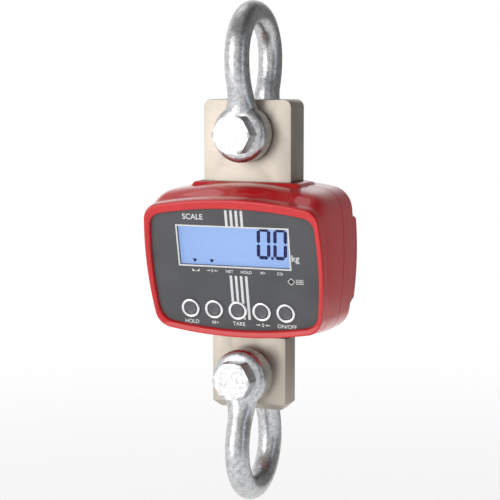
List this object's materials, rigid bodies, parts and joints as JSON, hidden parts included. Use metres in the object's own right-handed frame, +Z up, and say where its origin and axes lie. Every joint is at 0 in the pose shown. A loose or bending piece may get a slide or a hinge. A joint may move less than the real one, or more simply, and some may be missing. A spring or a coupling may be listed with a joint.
{
  "type": "crane scale",
  "caption": "Hanging electronic crane scale: a steel load cell between two bow shackles, with a red casing that carries a display and push buttons.",
  "frame": {"origin": "inside of the top bow's crown, where the crane hook bears", "axes": "+Z up along the line of load, +X to the viewer's right, the display faces -Y"},
  "size_m": [0.1456, 0.116, 0.392],
  "materials": {
    "galvanised_steel": "hot-dip galvanised, mottled",
    "nickel_steel": "nickel plated, finely ground",
    "zinc_steel": "zinc plated",
    "red_paint": "gloss red paint on die-cast aluminium",
    "grey_panel": "dark grey printed membrane",
    "rubber": "moulded rubber",
    "window": "clear window",
    "display": "backlit display, light blue",
    "white_plastic": "moulded white plastic",
    "board": "green circuit board",
    "black_plastic": "moulded black plastic",
    "button_grey": "dark grey moulded button",
    "bright_ring": "polished metal ring",
    "spring_steel": "nickel plated spring steel",
    "copper_foil": "metal foil on a yellow carrier",
    "ribbon": "flat ribbon cable",
    "lead_sleeve": "insulated leads",
    "battery_sleeve": "plain shrink sleeve"
  },
  "bodies": {
    "top_shackle": {"top_bow": "galvanised_steel"},
    "top_pin": {"top_bolt": "galvanised_steel", "top_nut": "galvanised_steel", "top_split_pin": "zinc_steel"},
    "scale_head": {"load_cell": "nickel_steel", "gauge_covers": "zinc_steel", "strain_gauges": "copper_foil", "top_seal": "rubber", "bottom_seal": "rubber", "front_shell": "red_paint", "rear_shell": "red_paint", "shell_seal": "rubber", "casing_screws": "zinc_steel", "mounting_bracket": "zinc_steel", "bracket_screws": "zinc_steel", "front_bezel": "red_paint", "front_panel": "grey_panel", "panel_seal": "rubber", "display_window": "window", "display_glass": "display", "display_backlight": "white_plastic", "main_board": "board", "board_parts": "black_plastic", "board_standoffs": "zinc_steel", "board_screws": "zinc_steel", "key_switches": "black_plastic", "infrared_window": "black_plastic", "button_rings": "bright_ring", "gauge_ribbon": "ribbon", "battery_leads": "lead_sleeve", "battery_tray": "black_plastic", "battery_contacts": "spring_steel", "batteries": "battery_sleeve"},
    "bottom_shackle": {"bottom_bow": "galvanised_steel"},
    "bottom_pin": {"bottom_bolt": "galvanised_steel", "bottom_nut": "galvanised_steel", "bottom_split_pin": "zinc_steel", "bottom_washers": "galvanised_steel"},
    "hold_key": {"hold_button": "button_grey"},
    "memory_key": {"memory_button": "button_grey"},
    "tare_key": {"tare_button": "button_grey"},
    "zero_key": {"zero_button": "button_grey"},
    "power_key": {"power_button": "button_grey"},
    "cover": {"battery_cover": "red_paint", "battery_cover_seal": "rubber", "battery_cover_screws": "zinc_steel"}
  },
  "joints": [
    {"name": "top_bolt_turn", "type": "hinge", "parent": "top_shackle", "child": "top_pin", "pos_m": [0, 0, -0.083], "axis": [0, 1, 0], "continuous": true},
    {"name": "head_swing", "type": "hinge", "parent": "top_shackle", "child": "scale_head", "pos_m": [0, 0, -0.083], "axis": [0, 1, 0], "range_deg": [-105, 105]},
    {"name": "bottom_swing", "type": "hinge", "parent": "scale_head", "child": "bottom_shackle", "pos_m": [0, 0, -0.271], "axis": [0, 1, 0], "range_deg": [-105, 105]},
    {"name": "bottom_bolt_turn", "type": "hinge", "parent": "bottom_shackle", "child": "bottom_pin", "pos_m": [0, 0, -0.271], "axis": [0, 1, 0], "continuous": true},
    {"name": "hold_press", "type": "slide", "parent": "scale_head", "child": "hold_key", "axis": [0, 0.9781, 0.2079], "range_m": [0, 0.0008], "stiffness_N_per_m": 800, "springref_m": -0.0004},
    {"name": "memory_press", "type": "slide", "parent": "scale_head", "child": "memory_key", "axis": [0, 0.9781, 0.2079], "range_m": [0, 0.0008], "stiffness_N_per_m": 800, "springref_m": -0.0004},
    {"name": "tare_press", "type": "slide", "parent": "scale_head", "child": "tare_key", "axis": [0, 0.9781, 0.2079], "range_m": [0, 0.0008], "stiffness_N_per_m": 800, "springref_m": -0.0004},
    {"name": "zero_press", "type": "slide", "parent": "scale_head", "child": "zero_key", "axis": [0, 0.9781, 0.2079], "range_m": [0, 0.0008], "stiffness_N_per_m": 800, "springref_m": -0.0004},
    {"name": "power_press", "type": "slide", "parent": "scale_head", "child": "power_key", "axis": [0, 0.9781, 0.2079], "range_m": [0, 0.0008], "stiffness_N_per_m": 800, "springref_m": -0.0004},
    {"name": "cover_off", "type": "slide", "parent": "scale_head", "child": "cover", "axis": [0, 1, 0], "range_m": [0, 0.06]}
  ]
}
